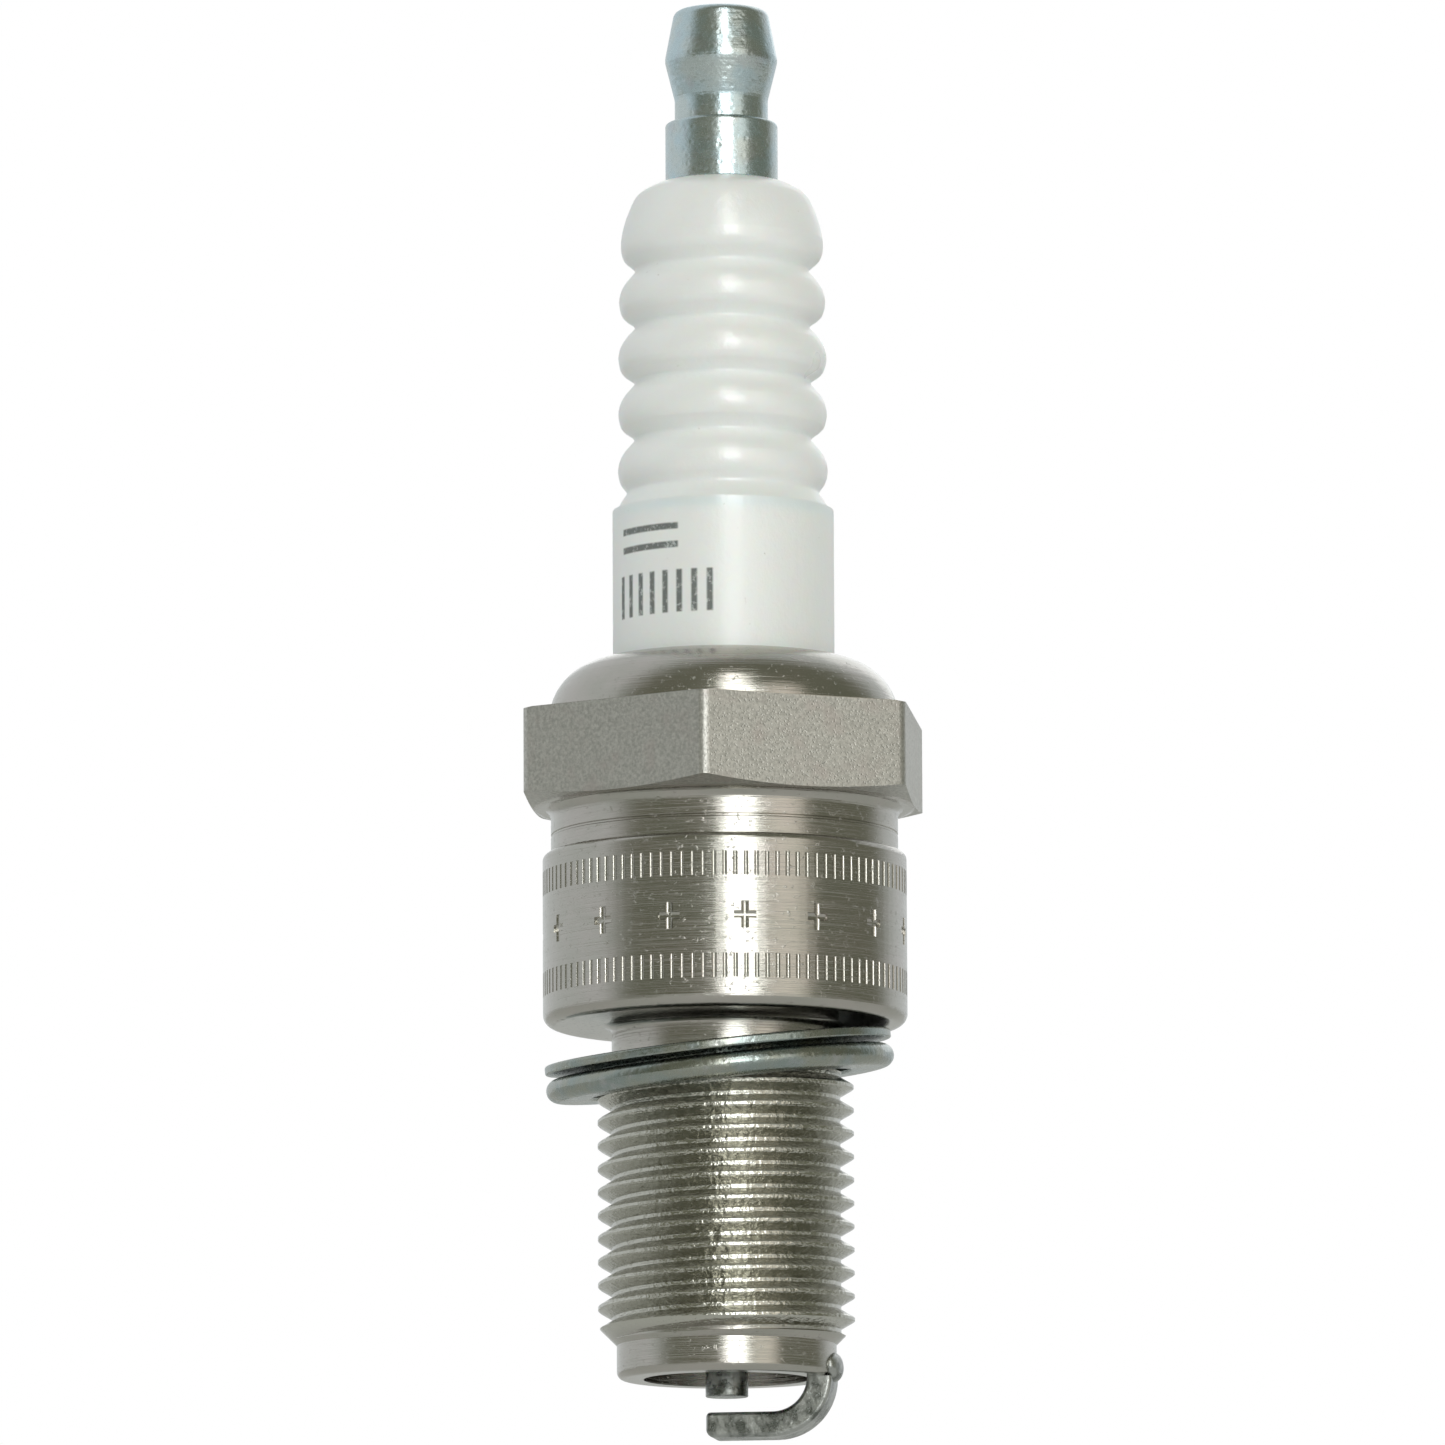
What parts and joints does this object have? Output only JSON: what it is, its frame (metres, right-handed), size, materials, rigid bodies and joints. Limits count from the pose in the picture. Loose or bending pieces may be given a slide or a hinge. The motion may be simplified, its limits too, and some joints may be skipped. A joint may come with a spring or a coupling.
{
  "type": "spark plug",
  "caption": "Long-reach spark plug with ribbed ceramic insulator, hexagon metal shell, loose folded gasket, removable snap terminal and side electrode.",
  "frame": {"origin": "centre of the shell's gasket seat, on the plug's axis", "axes": "+Z along the axis towards the terminal, +X towards the root of the side electrode (it stands 9 degrees in front of +X), -Y is the front"},
  "size_m": [0.0214, 0.0234, 0.0776],
  "materials": {
    "nickel_plate": "satin turned nickel plate",
    "zinc_plate": "bright bluish zinc plate",
    "glazed_ceramic": "white glossy glaze",
    "nickel_alloy": "matt drawn nickel",
    "copper": "satin copper",
    "plain_steel": "drawn steel",
    "glass_seal": "fused copper glass",
    "resistor_glass": "fused carbon glass",
    "talc": "pressed powder"
  },
  "bodies": {
    "plug": {"shell": "nickel_plate", "insulator": "glazed_ceramic", "terminal_stud": "plain_steel", "upper_glass_seal": "glass_seal", "resistor": "resistor_glass", "lower_glass_seal": "glass_seal", "centre_electrode": "nickel_alloy", "copper_core": "copper", "upper_packing_ring": "plain_steel", "lower_packing_ring": "plain_steel", "talc_fill": "talc", "seat_packing": "plain_steel", "ground_electrode": "nickel_alloy"},
    "terminal_nut": {"terminal_nut": "zinc_plate"},
    "gasket": {"gasket": "zinc_plate"}
  },
  "joints": [
    {"name": "nut_lift", "type": "slide", "parent": "plug", "child": "terminal_nut", "axis": [0, 0, 1], "range_m": [0, 0.0076]},
    {"name": "gasket_level", "type": "hinge", "parent": "plug", "child": "gasket", "pos_m": [0.00767, 0.00442, -0.00002], "axis": [-0.4833, 0.8755, 0], "range_deg": [0, 7]}
  ]
}
